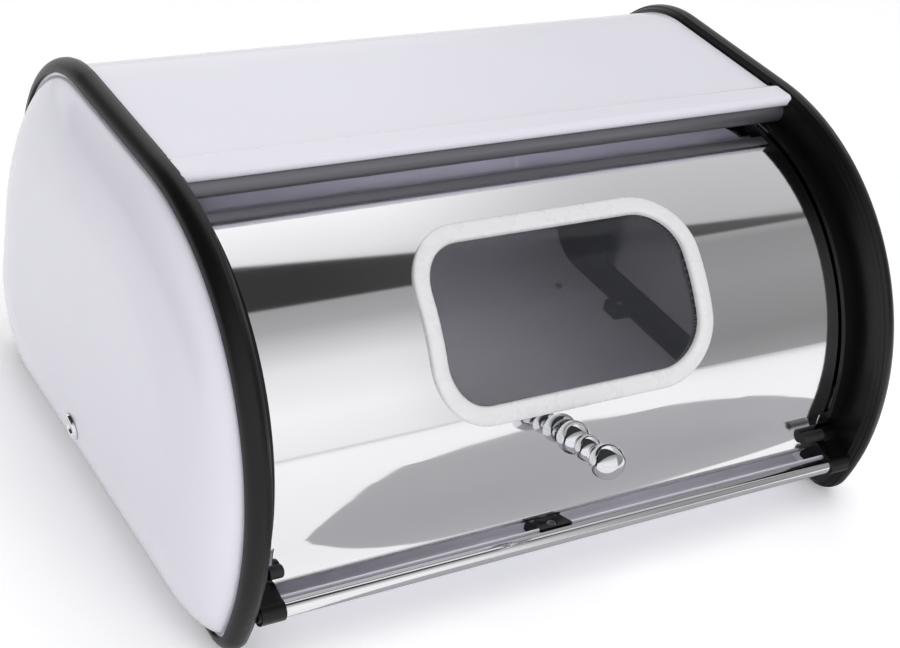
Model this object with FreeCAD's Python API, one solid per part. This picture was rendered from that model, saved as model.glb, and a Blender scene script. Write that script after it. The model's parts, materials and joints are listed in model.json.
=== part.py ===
"""Bread box with a roll top: a sheet steel bin between two black moulded end frames.

The lid is one rigid arc of polished steel.  Its side edges run in curved tracks in the end
frames, so it turns about the centre of that arc and rolls back under the top.

Axes: +X to the right, +Y to the back, +Z up.  The origin is at the bottom, in the middle of the
overall width and of the overall depth, knob included.  All sizes are in millimetres.
"""
import FreeCAD, Part
import math
import os

V = FreeCAD.Vector

# ---------------------------------------------------------------- overall sizes
HEIGHT = 185.0
DEPTH = 275.0                 # end frames, front to back
WIDTH = 400.0                 # over the crowns of the domed side panels

# ---------------------------------------------------------------- outline of an end frame
FRONT_RADIUS = 130.5          # the large front arc, tangent to the top
BACK_TOP_RADIUS = 64.0
BACK_BOTTOM_RADIUS = 32.0
FRONT_BOTTOM_RADIUS = 18.0

# ---------------------------------------------------------------- section of an end frame
RIM_WIDTH = 11.8              # from the web's inner face to the outer face
RIM_DEPTH = 11.0              # how far the rim bar reaches in from the outline
CREST_OUT = 4.8               # from the web's inner face to the flat on the crest
CREST_FLAT = 1.0
OUTER_DROP = 6.0              # fall from the crest to the outer face
RIB_STEP = 0.45               # height of the two fine steps on the bar's inner flank
RIB_PLACES = (0.42, 0.78)     # their distance in from the crest, as shares of the flank
RIB_FALLS = (0.20, 0.62)      # how far the flank has fallen there, as shares of its fall
WEB = 3.0
WEB_OPENING_RADIUS = 98.0
WEB_OPENING_FLOOR = 18.0
PANEL_SEAT = 2.4              # depth of the seat for the side panel, from the outer face
SLOT_DEPTH = 1.2              # how far the sheets' side edges enter the web
SLOT_LEDGE = 6.0              # how far the ledge under the sheet reaches past the web
LEDGE = 2.0
BOSS = 12.0
BOSS_HEIGHT = 7.0
BOSS_AHEAD = 60.96            # front bosses, ahead of the arc's centre
BOSS_TO_SEAM = 24.96          # rear bosses, ahead of the floor seam
NOSE_NOTCH = 2.0              # how far the nose's ends reach into the rim
SPIGOT = 8.0                  # length of the peg that carries each end of the front rail
SPIGOT_GAP = 0.05

# ---------------------------------------------------------------- curved track for the lid
TRACK_REACH = 8.0             # how far the two track walls stand in from the web
TRACK_WALL = 2.5
TRACK_GAP = 1.3               # from the lid sheet to the outer track wall
TRACK_INNER_GAP = 1.2         # from the lid sheet to the inner track wall
TRACK_END = 162.0             # angle of the back end, from the front horizontal
TRACK_STOP = 158.8            # the end wall that the top glides reach when the lid is open

# ---------------------------------------------------------------- sheet metal
SHEET = 0.8
SHELL_INSET = 4.0             # outer face of the shell, below the frame outline
NOSE_INSET = 1.8
NOSE_ROLL = 3.0
NOSE_FRONT = 14.3             # front of the nose, ahead of the arc's centre
NOSE_FLAT = 9.6
JOGGLE_BEND = 2.0
JOGGLE_ANGLE = 30.0
SEAM_SETBACK = 28.5           # where the shell ends and the floor pan starts, ahead of the back's bottom curve
SEAM_LAP = 18.0
SEAM_GAP = 0.2
EDGE_GAP = 0.1                # between a sheet's side edge and the end of its slot

# ---------------------------------------------------------------- front rail and channel
RAIL_RADIUS = 3.9
RAIL_HEIGHT = 27.0            # centre of the rail above the table
RAIL_SETBACK = 0.1
CHANNEL_DROP = 7.0            # channel floor below the rail's centre
CHANNEL_WIDTH = 18.6
UPSTAND_RISE = 3.4            # top of the pan's upstand above the rail's centre
RAMP_RUN = 7.0
STRIP_THICKNESS = 2.0
STRIP_INSET = 17.8            # end of the strip, from the web's inner face

# ---------------------------------------------------------------- bar under the nose
BAR_RADIUS = 6.5
BAR_AHEAD = 6.5               # centre of its curve, ahead of the arc's centre
BAR_DROP = 12.5               # centre of its curve, below the top
BAR_FROM = 100.0
BAR_TO = 230.0
BAR_THICKNESS = 1.2

# ---------------------------------------------------------------- lid
LID_RECESS = 21.5             # lid face inside the front arc of the frames
LID_TOP_ANGLE = 93.0          # top edge of the closed lid, from the front horizontal
LID_EDGE_GAP = 2.0            # between the lid's side edge and the web
LIP_INSET = 12.3              # end of the flared lip, from the web's inner face
LIP_HEIGHT = 30.4             # end of the flare above the table
FLARE_RADIUS = 42.0
FLARE_ANGLE = 25.0
CURL_RADIUS = 1.7
CURL_ANGLE = 250.0
CORNER_HEIGHT = 33.2          # plain corners of the lid end this far above the table
CORNER_SLIT = 1.0

# ---------------------------------------------------------------- lid window
WINDOW_ANGLE = 42.5           # middle of the window
WINDOW_HALF_WIDTH = 79.5      # over the bezel
WINDOW_HALF_HEIGHT = 46.4
WINDOW_CORNER = 31.0
BEZEL_WIDTH = 8.5
BEZEL_COLLAR = 3.5            # part of the bezel's width that passes through the lid
BEZEL_PROUD = 2.2
PANE = 1.5
PANE_LAP = 1.0
RETAINER = 1.5
RETAINER_LAP = 6.0
WINDOW_GAP = 0.15

# ---------------------------------------------------------------- knob
KNOB_X = -8.0
KNOB_ANGLE = 11.0
KNOB_BULB = 8.0               # radius of the bulb at the lid
KNOB_BULB_AT = 5.6            # centre of the bulb from the lid face
KNOB_RING = 6.4               # radius of the middle bead
KNOB_RING_AT = 17.2
KNOB_NECK = 3.6
KNOB_FOOT = (5.8, 1.6)        # radius and height of the foot under the bulb
KNOB_COLLARS = ((4.8, 12.9, 1.2), (5.0, 22.8, 1.4))   # radius, start and height of the turned collars
KNOB_SEAT_GAP = 0.05
KNOB_BALL = 8.4               # radius of the end ball
KNOB_LENGTH = 40.0
KNOB_BORE = 2.0
KNOB_BORE_DEPTH = 13.0

# ---------------------------------------------------------------- glides and buffers on the lid
GLIDE_LENGTH = 14.0
GLIDE_WIDTH = 5.1
GLIDE_GAP = 0.3               # to the track walls
GLIDE_OFFSETS = (5.0, -5.5)   # degrees from the ends of the lid arc to the middle of a glide
BUFFER_RADIUS = 3.1
BUFFER_ANGLE = -8.5
BUFFER_STANDOFF = 3.8         # centre of a buffer outside the lid face
BUFFER_INSET = 9.3            # outer end of a buffer, from the web's inner face
LEFT_BUFFER_LENGTH = 7.0
RIGHT_BUFFER_LENGTH = 13.0

# ---------------------------------------------------------------- brackets on the rail ends
BRACKET_WIDTH = 11.8
BRACKET_EAR_WIDTH = 8.4
BRACKET_WRAP = 1.1
BRACKET_GAP = 0.6
BRACKET_TOP = 40.5
BRACKET_SHOULDER = (5.5, 1.4)  # front edge of the shoulder: ahead of the track, above the lid corner's rest
BRACKET_BROW = (6.5, 3.0)      # front edge of the ear's foot, measured the same way
BRACKET_EAR_TIP = (3.2, 1.0)   # flat tip of the ear: depth and bevel
BRACKET_REACH = 9.0            # the wrap stays ahead of this distance behind the rail

# ---------------------------------------------------------------- magnetic catch
CATCH_X = -11.5
CATCH_WIDTH = 18.0
CATCH_DEPTH = 11.5            # behind the upstand's front face
CATCH_LIP = 0.9               # reach of the housing over the rail's back
CATCH_RISE = 3.6              # top of the housing at the upstand, above the rail's centre
CATCH_SLOPE = 0.32
CATCH_SCREW_IN = 3.2
CATCH_WALL = 1.2
MAGNET = (12.0, 5.0, 5.0)
POLE = 1.2

# ---------------------------------------------------------------- side panels and vents
PANEL_GAP = 0.15
REBATE_LIP = 0.5              # depth of the straight edge outside the panel's seat
PANEL_FLANGE = 1.4
DOME_SHOULDER = 42.0          # distance in from the edge over which the dome rises
DOME_ROUNDING = 38.0          # extra corner radius where the dome turns flat
DOME_TOP_RUN = 5.0            # least straight run left along the top of the dome
DOME_BANDS = 12
VENT_Y = 17.0                 # behind the arc's centre
VENT_Z = 34.0
VENT_FLANGE = 6.7
VENT_BORE = 3.3
VENT_BARREL = 4.2
VENT_DEPTH = 3.0              # length of the barrel inside the panel
VENT_CROWN = 1.7              # height of the rolled flange
VENT_SEAT = 0.15              # underside of the flange above the dome's highest point under it

# ---------------------------------------------------------------- fasteners
SCREW_GAP = 0.05
FLOOR_SCREW = (3.5, 1.6, 1.7, 8.0)        # head radius, head height, shank radius, length
CATCH_SCREW = (2.5, 1.6, 1.4, 9.0)
KNOB_SCREW = (3.9, 2.4, 1.95, 12.5)
HEAD_ROUND = 0.45             # rounding of a screw head, as a share of its height
RECESS_REACH = 0.62           # half length and half width of the cross recess, as shares of the head's radius
RECESS_SLOT = 0.16
RECESS_DEPTH = 0.55
RIVET = (2.8, 0.9, 1.6)                   # head radius, head height, shank radius
RIVET_SHARES = (-0.82, -0.29, 0.29, 0.82)  # places of the rivets, as shares of the web's distance
WASHER = (5.0, 0.8)
WASHER_SEAT = 0.2             # room between the washer and the lid's flat-backed curve

# ---------------------------------------------------------------- places worked out from the sizes
LID_R = FRONT_RADIUS - LID_RECESS
KNOB_CENTRE_R = LID_R + KNOB_LENGTH - KNOB_BALL
KNOB_REACH = KNOB_CENTRE_R * math.cos(math.radians(KNOB_ANGLE)) + KNOB_BALL - FRONT_RADIUS
FRONT_Y = (KNOB_REACH - DEPTH) / 2
BACK_Y = FRONT_Y + DEPTH
ARC_Y = FRONT_Y + FRONT_RADIUS
SEAM_Y = BACK_Y - BACK_BOTTOM_RADIUS - SEAM_SETBACK
BOSS_ROWS = (ARC_Y - BOSS_AHEAD, SEAM_Y - BOSS_TO_SEAM)
ARC_Z = HEIGHT - FRONT_RADIUS
PANEL_CROWN_X = WIDTH / 2
PANEL_CROWN = 18.4            # crown of the dome outside the frame's outer face
WEB_X = PANEL_CROWN_X - PANEL_CROWN - RIM_WIDTH
RIM_X = WEB_X + RIM_WIDTH
SEAT_X = RIM_X - PANEL_SEAT
PANEL_INSET = OUTER_DROP + REBATE_LIP + PANEL_GAP
EDGE_X = WEB_X + SLOT_DEPTH - EDGE_GAP
NOSE_X = WEB_X + NOSE_NOTCH - EDGE_GAP
TRACK_X = WEB_X - TRACK_REACH
STRIP_HALF = WEB_X - STRIP_INSET
LIP_HALF = WEB_X - LIP_INSET
BRACKET_INNER = WEB_X - BRACKET_WIDTH
BRACKET_EAR = WEB_X - BRACKET_EAR_WIDTH
BUFFER_OUTER = WEB_X - BUFFER_INSET
LID_HALF = WEB_X - LID_EDGE_GAP
TRACK_OUTER_R = LID_R + TRACK_GAP
TRACK_INNER_R = LID_R - SHEET - TRACK_INNER_GAP
LIP_SHIFT = math.degrees(FLARE_RADIUS * math.sin(math.radians(FLARE_ANGLE)) / LID_R)
LIP_R = LID_R + FLARE_RADIUS * (1 - math.cos(math.radians(FLARE_ANGLE))) + 1.4
FLARE_START = LIP_SHIFT - math.degrees(math.asin((ARC_Z - LIP_HEIGHT) / LIP_R))
CORNER_ANGLE = -math.degrees(math.asin((ARC_Z - CORNER_HEIGHT) / LID_R))
RAIL_Z = RAIL_HEIGHT
RAIL_R = FRONT_RADIUS - RAIL_RADIUS - RAIL_SETBACK
RAIL_Y = ARC_Y - math.sqrt(RAIL_R ** 2 - (ARC_Z - RAIL_Z) ** 2)
CHANNEL_Z = RAIL_Z - CHANNEL_DROP
UPSTAND_Y = RAIL_Y + RAIL_RADIUS


# ---------------------------------------------------------------- drawing helpers
def point(y, z, x=0.0):
    return V(x, y, z)


def polar(radius, angle, x=0.0):
    """Point on a circle about the lid's axis; the angle rises from the front horizontal."""
    a = math.radians(angle)
    return V(x, ARC_Y - radius * math.cos(a), ARC_Z + radius * math.sin(a))


def line(a, b):
    return Part.LineSegment(a, b).toShape()


def arc(y, z, radius, start, end):
    """Arc in the YZ plane; angles from +Y towards +Z."""
    def at(angle):
        a = math.radians(angle)
        return V(0, y + radius * math.cos(a), z + radius * math.sin(a))
    return Part.Arc(at(start), at((start + end) / 2), at(end)).toShape()


def prism(profile, x0, x1):
    """Solid between two X stations from a closed profile in the YZ plane."""
    face = profile if isinstance(profile, Part.Face) else Part.Face(profile)
    solid = face.extrude(V(x1 - x0, 0, 0))
    solid.translate(V(x0, 0, 0))
    return solid


def polygon(*points):
    corners = [point(y, z) for y, z in points]
    return Part.Face(Part.makePolygon(corners + corners[:1]))


def disc(y, z, radius):
    circle = Part.Circle(point(y, z), V(1, 0, 0), radius)
    return Part.Face(Part.Wire(circle.toShape()))


def box(x0, x1, y0, y1, z0, z1):
    return Part.makeBox(x1 - x0, y1 - y0, z1 - z0, V(x0, y0, z0))


def ring_sector(inner, outer, start, end, x0, x1):
    """Curved wall about the lid's axis, between two radii, two angles and two X stations."""
    middle = (start + end) / 2
    edges = [
        Part.Arc(polar(inner, start), polar(inner, middle), polar(inner, end)).toShape(),
        line(polar(inner, end), polar(outer, end)),
        Part.Arc(polar(outer, end), polar(outer, middle), polar(outer, start)).toShape(),
        line(polar(outer, start), polar(inner, start)),
    ]
    return prism(Part.Wire(edges), x0, x1)


def mirrored(shape):
    return shape.mirror(V(0, 0, 0), V(1, 0, 0))


def joined(first, *others):
    return first.multiFuse(list(others)).removeSplitter()


class BentSheet:
    """Side view of a sheet, drawn along one face as a series of runs and bends."""

    def __init__(self, start, heading):
        self.start = start
        self.at = start
        self.heading = heading
        self.moves = []

    def _normal(self, heading):
        a = math.radians(heading - 90)
        return V(0, math.cos(a), math.sin(a))

    def run(self, length):
        a = math.radians(self.heading)
        end = self.at + V(0, math.cos(a), math.sin(a)) * length
        self.moves.append((self.at, end, self.heading, self.heading, None))
        self.at = end
        return self

    def bend(self, radius, angle):
        """Turn left by a positive angle and right by a negative one."""
        side = -1 if angle > 0 else 1
        centre = self.at + self._normal(self.heading) * (side * radius)
        turned = self.heading + angle
        end = centre - self._normal(turned) * (side * radius)
        self.moves.append((self.at, end, self.heading, turned, (centre, side)))
        self.at = end
        self.heading = turned
        return self

    def face(self, thickness):
        """Cross-section with the metal on the right of the drawn face, or left if negative."""
        drawn, back = [], []
        for start, end, before, after, bend in self.moves:
            inner_start = start + self._normal(before) * thickness
            inner_end = end + self._normal(after) * thickness
            if bend is None:
                drawn.append(line(start, end))
                back.append(line(inner_start, inner_end))
                continue
            centre, side = bend
            radius = (start - centre).Length
            towards = self._normal((before + after) / 2) * -side
            drawn.append(Part.Arc(start, centre + towards * radius, end).toShape())
            inner = radius - side * thickness
            back.append(Part.Arc(inner_start, centre + towards * inner, inner_end).toShape())
        first = self.start + self._normal(self.moves[0][2]) * thickness
        last = self.at + self._normal(self.heading) * thickness
        edges = drawn + [line(self.at, last)] + back[::-1] + [line(first, self.start)]
        return Part.Face(Part.Wire(Part.__sortEdges__(edges)))


# ---------------------------------------------------------------- end frame outline
def outline_edges(inset, rounding=0.0):
    """Edges of the frame outline, set in by a distance, from the front of the top backwards.

    The rounding is added to the radius of all three corners.
    """
    radii = (BACK_TOP_RADIUS, BACK_BOTTOM_RADIUS, FRONT_BOTTOM_RADIUS)
    top_r, base_r, foot_r = (radius + rounding for radius in radii)
    foot_y = ARC_Y - math.sqrt((FRONT_RADIUS - foot_r) ** 2 - (ARC_Z - foot_r) ** 2)
    foot_angle = 180 + math.degrees(math.atan2(ARC_Z - foot_r, ARC_Y - foot_y))
    return [
        line(point(ARC_Y, HEIGHT - inset), point(BACK_Y - top_r, HEIGHT - inset)),
        arc(BACK_Y - top_r, HEIGHT - top_r, top_r - inset, 90, 0),
        line(point(BACK_Y - inset, HEIGHT - top_r), point(BACK_Y - inset, base_r)),
        arc(BACK_Y - base_r, base_r, base_r - inset, 0, -90),
        line(point(BACK_Y - base_r, inset), point(foot_y, inset)),
        arc(foot_y, foot_r, foot_r - inset, 270, foot_angle),
        arc(ARC_Y, ARC_Z, FRONT_RADIUS - inset, foot_angle, 90),
    ]


def outline(inset, rounding=0.0):
    return Part.Wire(outline_edges(inset, rounding))


# ---------------------------------------------------------------- end frames
def rim_section():
    """Section of the rim bar where the top starts, in the plane across the outline."""
    def at(x, drop):
        return V(x, ARC_Y, HEIGHT - drop)
    flat_in = WEB_X + CREST_OUT
    flat_out = flat_in + CREST_FLAT
    outer_run = RIM_X - flat_out
    outer_r = (outer_run ** 2 + OUTER_DROP ** 2) / (2 * OUTER_DROP)
    outer_mid = outer_r - math.sqrt(outer_r ** 2 - (outer_run / 2) ** 2)
    rebate = OUTER_DROP + REBATE_LIP
    fall = SHELL_INSET - 2 * RIB_STEP
    upper, lower = (flat_in - CREST_OUT * share for share in RIB_PLACES)
    upper_fall, lower_fall = (fall * share for share in RIB_FALLS)
    flank = [
        (WEB_X, SHELL_INSET), (lower, lower_fall + 2 * RIB_STEP), (lower, lower_fall + RIB_STEP),
        (upper, upper_fall + RIB_STEP), (upper, upper_fall), (flat_in, 0),
    ]
    seat = [(RIM_X, OUTER_DROP), (RIM_X, rebate), (SEAT_X, rebate), (SEAT_X, RIM_DEPTH), (WEB_X, RIM_DEPTH)]
    corners = [at(x, drop) for x, drop in seat + flank]
    crown = Part.Arc(at(flat_out, 0), at(flat_out + outer_run / 2, outer_mid), at(RIM_X, OUTER_DROP))
    edges = [line(at(flat_in, 0), at(flat_out, 0)), crown.toShape()]
    edges += [line(a, b) for a, b in zip(corners, corners[1:])]
    return Part.Wire(edges)


def slot_path():
    """Path of the slot that holds the shell and the floor pan: top, back and bottom."""
    top, back_top, back, back_bottom = outline_edges(0)[:4]
    start = point(joggle_end(), HEIGHT)
    ramp = UPSTAND_Y + CHANNEL_WIDTH + RAMP_RUN + JOGGLE_BEND
    return Part.Wire([
        line(start, point(BACK_Y - BACK_TOP_RADIUS, HEIGHT)), back_top, back, back_bottom,
        line(point(BACK_Y - BACK_BOTTOM_RADIUS, 0), point(ramp, 0)),
    ])


def slot_strip(x0, x1, drop0, drop1):
    """Strip with a rectangular section swept along the slot."""
    path = slot_path()
    y = path.Vertexes[0].Point.y
    corners = [V(x, y, HEIGHT - drop) for x, drop in ((x0, drop0), (x1, drop0), (x1, drop1), (x0, drop1))]
    return path.makePipeShell([Part.makePolygon(corners + corners[:1])], True, False)


def web_plate():
    plate = prism(outline(SHELL_INSET), WEB_X, WEB_X + WEB)
    opening = prism(disc(ARC_Y, ARC_Z, WEB_OPENING_RADIUS), WEB_X - 1, WEB_X + WEB + 1)
    above = box(WEB_X - 2, WEB_X + WEB + 2, FRONT_Y, BACK_Y, WEB_OPENING_FLOOR, HEIGHT)
    return plate.cut(opening.common(above))


def track_walls():
    """Two curved walls that hold the lid's edge, and the wall that ends the groove."""
    outer = ring_sector(TRACK_OUTER_R, TRACK_OUTER_R + TRACK_WALL, FLARE_START, TRACK_END, TRACK_X, WEB_X + 1)
    inner_start = CORNER_ANGLE + 1.5
    inner = ring_sector(TRACK_INNER_R - TRACK_WALL, TRACK_INNER_R, inner_start, TRACK_END, TRACK_X, WEB_X + 1)
    end = ring_sector(TRACK_INNER_R - 0.5, TRACK_OUTER_R + 0.5, TRACK_STOP, TRACK_END, TRACK_X, WEB_X + 1)
    return [outer, inner, end]


def floor_bosses():
    top = SHELL_INSET + SHEET + BOSS_HEIGHT
    bosses = []
    for y in BOSS_ROWS:
        boss = box(WEB_X - BOSS - 5, WEB_X + 1, y - BOSS / 2, y + BOSS / 2, SHELL_INSET + SHEET, top)
        hole = Part.makeCylinder(FLOOR_SCREW[2], BOSS_HEIGHT + 2, V(floor_screw_x(), y, SHELL_INSET))
        bosses.append(boss.cut(hole))
    return bosses


def floor_screw_x():
    return WEB_X - BOSS + 1


def rail_spigot():
    return prism(disc(RAIL_Y, RAIL_Z, RAIL_RADIUS - SHEET - SPIGOT_GAP), WEB_X - SPIGOT, WEB_X + 1)


def nose_notch():
    """Room in the rim's flank for the end of the rolled nose."""
    front = ARC_Y - NOSE_FRONT - EDGE_GAP
    low = HEIGHT - NOSE_INSET - 2 * NOSE_ROLL - EDGE_GAP
    return box(WEB_X - 1, WEB_X + NOSE_NOTCH, front, joggle_end() + EDGE_GAP, low, HEIGHT + 1)


def end_frame():
    rim = outline(0).makePipeShell([rim_section()], True, False)
    under = SHELL_INSET + SHEET
    ledge = slot_strip(WEB_X - SLOT_LEDGE, WEB_X + 1, under, under + LEDGE)
    frame = joined(rim, web_plate(), ledge, rail_spigot(), *track_walls(), *floor_bosses())
    frame = frame.cut(slot_strip(WEB_X - 1, WEB_X + SLOT_DEPTH, SHELL_INSET, under))
    frame = frame.cut(prism(floor_pan_profile(), WEB_X - 1, WEB_X + SLOT_DEPTH))
    frame = frame.cut(prism(tie_bar_profile(), WEB_X - 1, WEB_X + SLOT_DEPTH - EDGE_GAP))
    return frame.cut(nose_notch())


# ---------------------------------------------------------------- side panels and vents
def dome(shift):
    """Solid under the domed face of a side panel, set in on all sides by a distance."""
    base_x = SEAT_X + SHEET - shift
    rise = PANEL_CROWN_X - SEAT_X - SHEET
    edge = PANEL_INSET + PANEL_FLANGE + shift
    rounding = min(DOME_ROUNDING, BACK_Y - ARC_Y - BACK_TOP_RADIUS - DOME_TOP_RUN)
    wires = []
    for band in range(DOME_BANDS + 1):
        turn = math.pi / 2 * band / DOME_BANDS
        wire = outline(edge + DOME_SHOULDER * (1 - math.cos(turn)), rounding * math.sin(turn))
        wire.translate(V(base_x + rise * math.sin(turn), 0, 0))
        wires.append(wire)
    return Part.makeLoft(wires, True, True)


def side_panel():
    flange = prism(outline(PANEL_INSET), SEAT_X, SEAT_X + SHEET)
    opening = prism(outline(PANEL_INSET + PANEL_FLANGE + 1.0), SEAT_X - 1, SEAT_X + SHEET + 1)
    skin = dome(0).cut(dome(SHEET))
    panel = joined(flange.cut(opening), skin)
    place, outwards = vent_place()
    hole = Part.makeCylinder(VENT_BARREL, 4 * VENT_DEPTH, place - outwards * 2 * VENT_DEPTH, outwards)
    return panel.cut(hole)


def vent_place():
    """Point on the dome where the vent sits, and the direction straight out of the dome there."""
    solid = dome(0)

    def face_x(y, z):
        ray = line(V(SEAT_X, y, z), V(PANEL_CROWN_X + 5, y, z))
        return max(v.Point.x for v in solid.common(ray).Vertexes)

    y, z, step = ARC_Y + VENT_Y, VENT_Z, 2.0
    slope_y = (face_x(y + step, z) - face_x(y - step, z)) / (2 * step)
    slope_z = (face_x(y, z + step) - face_x(y, z - step)) / (2 * step)
    outwards = V(1, -slope_y, -slope_z)
    outwards.normalize()
    return V(face_x(y, z), y, z), outwards


def vent_eyelet():
    """Rolled eyelet: a round flange outside, a barrel through the panel, a curl inside."""
    profile = [(VENT_BORE, VENT_SEAT), (VENT_BORE, -VENT_DEPTH), (VENT_BARREL, -VENT_DEPTH),
               (VENT_BARREL, VENT_SEAT), (VENT_FLANGE, VENT_SEAT)]
    corners = [V(r, 0, h) for r, h in profile]
    crown = Part.Arc(corners[-1], V((VENT_FLANGE + VENT_BORE) / 2, 0, VENT_CROWN), corners[0])
    edges = [line(a, b) for a, b in zip(corners, corners[1:])] + [crown.toShape()]
    solid = Part.Face(Part.Wire(edges)).revolve(V(0, 0, 0), V(0, 0, 1), 360)
    place, outwards = vent_place()
    solid.Placement = FreeCAD.Placement(place, FreeCAD.Rotation(V(0, 0, 1), outwards))
    return solid


# ---------------------------------------------------------------- shell, floor pan and rail
def joggle_drop():
    """Straight part of the slope between the nose and the top, measured downwards."""
    return SHELL_INSET - NOSE_INSET - 2 * JOGGLE_BEND * (1 - math.cos(math.radians(JOGGLE_ANGLE)))


def joggle_end():
    angle = math.radians(JOGGLE_ANGLE)
    slope = joggle_drop() / math.tan(angle) + 2 * JOGGLE_BEND * math.sin(angle)
    return ARC_Y - NOSE_FRONT + NOSE_ROLL + NOSE_FLAT + slope


def body_shell():
    """One sheet: rolled nose, joggle, top, back and the rear bottom curve."""
    nose_y = ARC_Y - NOSE_FRONT + NOSE_ROLL
    nose_z = HEIGHT - NOSE_INSET - NOSE_ROLL
    begin = math.radians(235)
    start = point(nose_y + NOSE_ROLL * math.cos(begin), nose_z + NOSE_ROLL * math.sin(begin))
    nose = BentSheet(start, 145).bend(NOSE_ROLL, -145).run(NOSE_FLAT)
    sheet = BentSheet(nose.at, 0).bend(JOGGLE_BEND, -JOGGLE_ANGLE)
    sheet.run(joggle_drop() / math.sin(math.radians(JOGGLE_ANGLE))).bend(JOGGLE_BEND, JOGGLE_ANGLE)
    sheet.run(BACK_Y - BACK_TOP_RADIUS - sheet.at.y).bend(BACK_TOP_RADIUS - SHELL_INSET, -90)
    sheet.run(sheet.at.z - BACK_BOTTOM_RADIUS).bend(BACK_BOTTOM_RADIUS - SHELL_INSET, -90)
    sheet.run(sheet.at.y - SEAM_Y)
    shell = joined(prism(nose.face(SHEET), -NOSE_X, NOSE_X), prism(sheet.face(SHEET), -EDGE_X, EDGE_X))
    return shell.cut(Part.makeCompound(rivet_shanks()))


def floor_pan_profile():
    """Side view of the pan: floor, ramp, channel and upstand behind the rail."""
    ramp_top = UPSTAND_Y + CHANNEL_WIDTH
    rise = CHANNEL_Z - SHEET - SHELL_INSET
    slope = math.degrees(math.atan2(rise, RAMP_RUN))
    setback = JOGGLE_BEND * math.tan(math.radians(slope / 2))
    sheet = BentSheet(point(floor_seam(), SHELL_INSET), 180)
    sheet.run(floor_seam() - (ramp_top + RAMP_RUN) - setback).bend(JOGGLE_BEND, -slope)
    sheet.run(math.hypot(rise, RAMP_RUN) - 2 * setback).bend(JOGGLE_BEND, slope)
    sheet.run(sheet.at.y - UPSTAND_Y - JOGGLE_BEND).bend(JOGGLE_BEND, -90)
    sheet.run(RAIL_Z + UPSTAND_RISE - sheet.at.z)
    return sheet.face(SHEET)


def floor_seam():
    return SEAM_Y - SEAM_GAP


def floor_pan():
    """Bottom sheet, with a lap joggled over the end of the shell."""
    seam = floor_seam()
    under = SHELL_INSET + SHEET
    pan = prism(floor_pan_profile(), -EDGE_X, EDGE_X)
    lap_half = WEB_X - SLOT_LEDGE - 1
    joggle = polygon((seam - 5, SHELL_INSET + SHEET * 0.5), (seam, under), (seam + SEAM_LAP, under),
                     (seam + SEAM_LAP, under + SHEET), (seam, under + SHEET), (seam - 5, under))
    pan = joined(pan, prism(joggle, -lap_half, lap_half))
    notch_half = CATCH_WIDTH / 2 + SEAM_GAP
    notch = box(CATCH_X - notch_half, CATCH_X + notch_half, UPSTAND_Y - 0.1, UPSTAND_Y + SHEET + 0.1,
                CHANNEL_Z + JOGGLE_BEND, RAIL_Z + UPSTAND_RISE + 1)
    holes = [Part.makeCylinder(FLOOR_SCREW[2] + SCREW_GAP, 4, V(side * floor_screw_x(), y, SHELL_INSET - 1))
             for side in (-1, 1) for y in BOSS_ROWS]
    holes.append(Part.makeCylinder(CATCH_SCREW[2] + SCREW_GAP, 6, V(CATCH_X, catch_screw_y(), CHANNEL_Z - 3)))
    return pan.cut(Part.makeCompound(holes + rivet_shanks())).cut(notch)


def rivet_shanks():
    y = SEAM_Y + SEAM_LAP / 2
    return [Part.makeCylinder(RIVET[2], 2 * SHEET, V(share * WEB_X, y, SHELL_INSET)) for share in RIVET_SHARES]


def floor_rivets():
    """Pop rivets through the lapped seam, heads underneath and formed ends inside."""
    rivets = []
    for shank in rivet_shanks():
        low = shank.BoundBox.Center
        head = Part.makeCone(RIVET[0] * 0.7, RIVET[0], RIVET[1], V(low.x, low.y, SHELL_INSET - RIVET[1]))
        formed = Part.makeCylinder(RIVET[0] * 0.8, RIVET[1] * 1.5, V(low.x, low.y, SHELL_INSET + 2 * SHEET))
        rivets.append(joined(head, shank, formed))
    return Part.makeCompound(rivets)


def front_rail():
    """Rolled tube with a flange that hangs in front of the floor pan's upstand."""
    tube = prism(disc(RAIL_Y, RAIL_Z, RAIL_RADIUS), -WEB_X, WEB_X)
    bore = prism(disc(RAIL_Y, RAIL_Z, RAIL_RADIUS - SHEET), -WEB_X, WEB_X)
    flange = box(-WEB_X, WEB_X, UPSTAND_Y - SHEET, UPSTAND_Y, CHANNEL_Z - SHEET, RAIL_Z)
    return joined(tube, flange).cut(bore)


def channel_strip():
    """Flat strip lying in the channel, notched round the catch."""
    front = UPSTAND_Y + SHEET + JOGGLE_BEND
    back = UPSTAND_Y + CHANNEL_WIDTH - JOGGLE_BEND
    strip = box(-STRIP_HALF, STRIP_HALF, front, back, CHANNEL_Z, CHANNEL_Z + STRIP_THICKNESS)
    half = CATCH_WIDTH / 2 + SEAM_GAP
    notch = box(CATCH_X - half, CATCH_X + half, UPSTAND_Y, catch_back_y() + SEAM_GAP, CHANNEL_Z - 1, RAIL_Z)
    return strip.cut(notch)


def tie_bar_profile():
    y, z = ARC_Y - BAR_AHEAD, HEIGHT - BAR_DROP
    a = math.radians(BAR_FROM)
    start = point(y + BAR_RADIUS * math.cos(a), z + BAR_RADIUS * math.sin(a))
    return BentSheet(start, BAR_FROM + 90).bend(BAR_RADIUS, BAR_TO - BAR_FROM).face(-BAR_THICKNESS)


def front_tie_bar():
    """Curved strip under the nose, its ends housed in the webs."""
    half = WEB_X + SLOT_DEPTH - EDGE_GAP
    return prism(tie_bar_profile(), -half, half)


# ---------------------------------------------------------------- brackets on the rail ends
def track_angle(height):
    """Angle about the lid's axis at which the outer track wall's face reaches a height."""
    return math.degrees(math.asin((height - ARC_Z) / TRACK_OUTER_R))


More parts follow.
